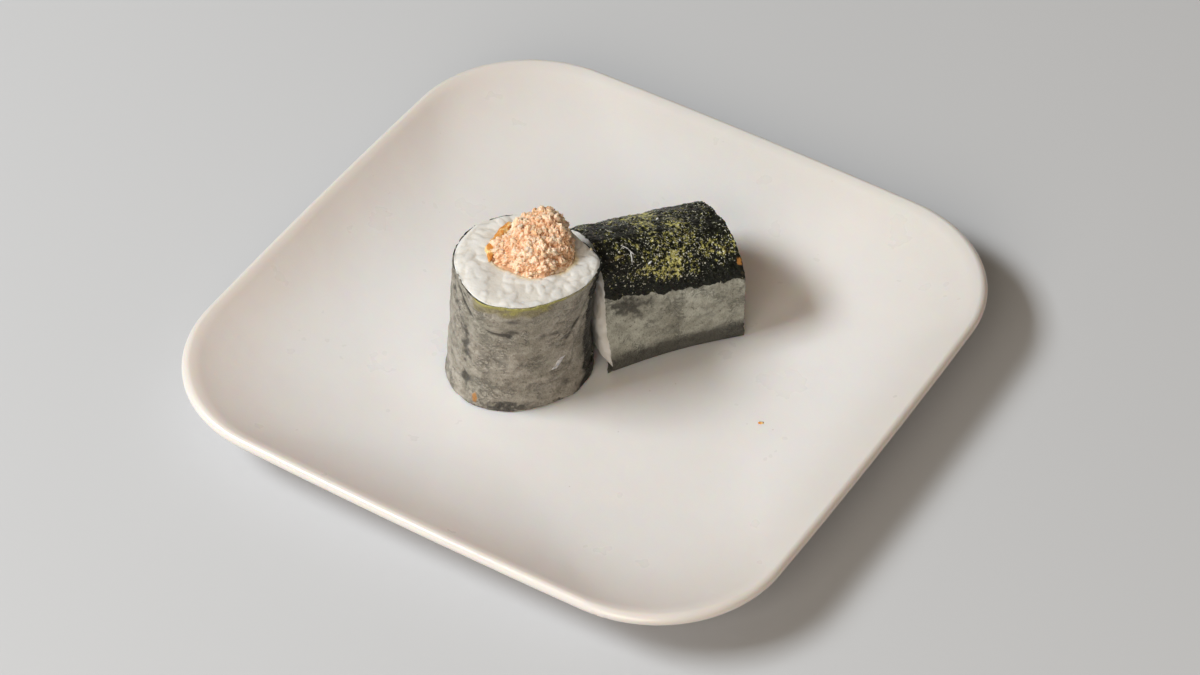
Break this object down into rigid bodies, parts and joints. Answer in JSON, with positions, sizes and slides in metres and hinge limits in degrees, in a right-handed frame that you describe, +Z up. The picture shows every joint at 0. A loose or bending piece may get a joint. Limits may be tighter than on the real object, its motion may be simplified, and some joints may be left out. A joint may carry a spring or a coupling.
{
  "type": "maki sushi roll on a square plate",
  "caption": "Cut maki roll of rice and flaky filling in nori on a square coupe plate: one half stands on its cut face, the other lies beside it.",
  "frame": {"origin": "middle of the plate's foot, on the surface that it stands on", "axes": "+Z up out of the plate, +X and +Y along the plate's sides; the standing half is at -X and -Y, and the lying half runs from it towards +X and +Y"},
  "size_m": [0.185, 0.185, 0.0572],
  "materials": {
    "glazed_ceramic": "off-white glazed ceramic, which gloss_plastic stands in for",
    "nori": "dry toasted seaweed with a faint sheen",
    "rice": "moist pressed rice",
    "filling": "moist flaked fish"
  },
  "bodies": {
    "root": {"plate": "glazed_ceramic", "standing_nori": "nori", "standing_rice": "rice", "standing_filling": "filling", "lying_nori": "nori", "lying_rice": "rice", "lying_filling": "filling"}
  },
  "joints": []
}
